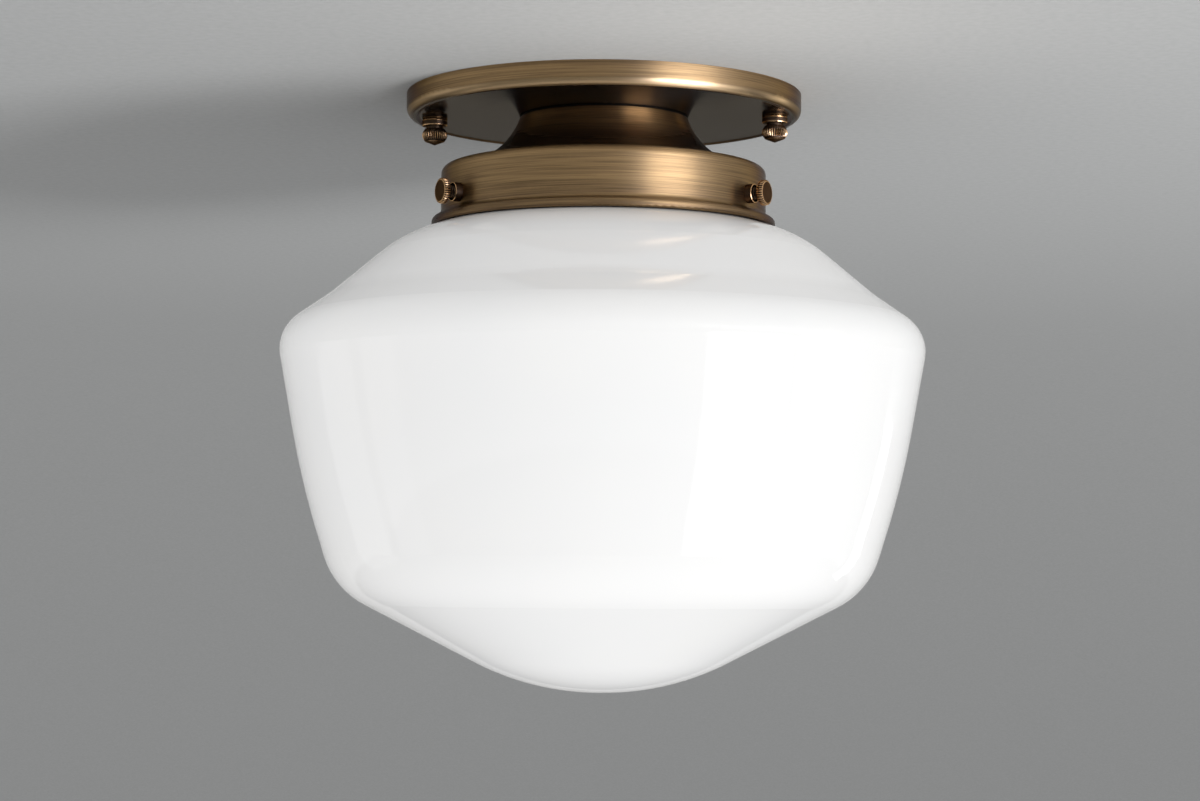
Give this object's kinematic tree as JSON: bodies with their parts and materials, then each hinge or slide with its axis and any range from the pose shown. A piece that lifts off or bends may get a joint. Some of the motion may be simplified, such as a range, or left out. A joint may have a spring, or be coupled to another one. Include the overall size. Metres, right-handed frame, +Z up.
{
  "type": "flush mount ceiling light",
  "caption": "Flush ceiling light: shallow round brass canopy, spun brass shade holder with thumbscrews, and a closed schoolhouse opal glass shade over a screw-base bulb.",
  "frame": {"origin": "centre of the crossbar's top face, in the plane of the ceiling", "axes": "+Z up into the ceiling, +X along the crossbar, -Y towards the viewer of the picture"},
  "size_m": [0.2058, 0.2058, 0.1912],
  "materials": {
    "antique_brass": "brushed, darkened",
    "bronze_hardware": "darkened, worn edges",
    "zinc_steel": "zinc plated",
    "green_screw": "green lacquer",
    "opal_glass": "glossy opal white",
    "porcelain": "glazed",
    "contact_brass": "bright",
    "nickel": "bright",
    "frosted_glass": "frosted",
    "black_insulator": "glossy black"
  },
  "bodies": {
    "fixture": {"crossbar": "zinc_steel", "ground_screw": "green_screw", "mounting_studs": "zinc_steel", "stud_locknuts": "zinc_steel", "canopy": "antique_brass", "nipple": "zinc_steel", "upper_lock_washer": "zinc_steel", "upper_locknut": "zinc_steel", "shade_holder": "antique_brass", "lower_lock_washer": "zinc_steel", "lower_locknut": "zinc_steel", "screw_bushes": "bronze_hardware", "glass_shade": "opal_glass", "socket_bracket": "zinc_steel", "bracket_screws": "zinc_steel", "socket_body": "porcelain", "socket_screw_shell": "contact_brass", "socket_centre_contact": "contact_brass", "live_terminal": "contact_brass", "live_terminal_screw": "contact_brass", "neutral_terminal": "nickel", "neutral_terminal_screw": "nickel"},
    "left_washer": {"washer_left": "bronze_hardware"},
    "left_cap_nut": {"cap_nut_left": "bronze_hardware"},
    "right_washer": {"washer_right": "bronze_hardware"},
    "right_cap_nut": {"cap_nut_right": "bronze_hardware"},
    "front_left_thumbscrew": {"thumbscrew_front_left": "bronze_hardware"},
    "front_right_thumbscrew": {"thumbscrew_front_right": "bronze_hardware"},
    "rear_thumbscrew": {"thumbscrew_rear": "bronze_hardware"},
    "bulb": {"bulb_envelope": "frosted_glass", "bulb_base_shell": "nickel", "bulb_base_insulator": "black_insulator", "bulb_tip_contact": "contact_brass"}
  },
  "joints": [
    {"name": "left_cap_nut_feed", "type": "slide", "parent": "fixture", "child": "left_washer", "axis": [0, 0, -1], "range_m": [0, 0.00317]},
    {"name": "left_cap_nut_turn", "type": "hinge", "parent": "left_washer", "child": "left_cap_nut", "pos_m": [-0.055, 0, -0.012], "axis": [0, 0, -1], "range_deg": [0, 1441]},
    {"name": "right_cap_nut_feed", "type": "slide", "parent": "fixture", "child": "right_washer", "axis": [0, 0, -1], "range_m": [0, 0.00317]},
    {"name": "right_cap_nut_turn", "type": "hinge", "parent": "right_washer", "child": "right_cap_nut", "pos_m": [0.055, 0, -0.012], "axis": [0, 0, -1], "range_deg": [0, 1441]},
    {"name": "front_left_thumbscrew_slide", "type": "slide", "parent": "fixture", "child": "front_left_thumbscrew", "axis": [-0.8192, -0.5736, 0], "range_m": [0, 0.0045]},
    {"name": "front_right_thumbscrew_slide", "type": "slide", "parent": "fixture", "child": "front_right_thumbscrew", "axis": [0.9063, -0.4226, 0], "range_m": [0, 0.0045]},
    {"name": "rear_thumbscrew_slide", "type": "slide", "parent": "fixture", "child": "rear_thumbscrew", "axis": [-0.0872, 0.9962, 0], "range_m": [0, 0.0045]},
    {"name": "bulb_slide", "type": "slide", "parent": "fixture", "child": "bulb", "axis": [0, 0, -1], "range_m": [0, 0.026]}
  ],
  "couplings": [
    {"joint": "left_cap_nut_turn", "follows": "left_cap_nut_feed", "rad_per_m": 7915.8},
    {"joint": "right_cap_nut_turn", "follows": "right_cap_nut_feed", "rad_per_m": 7915.8}
  ]
}
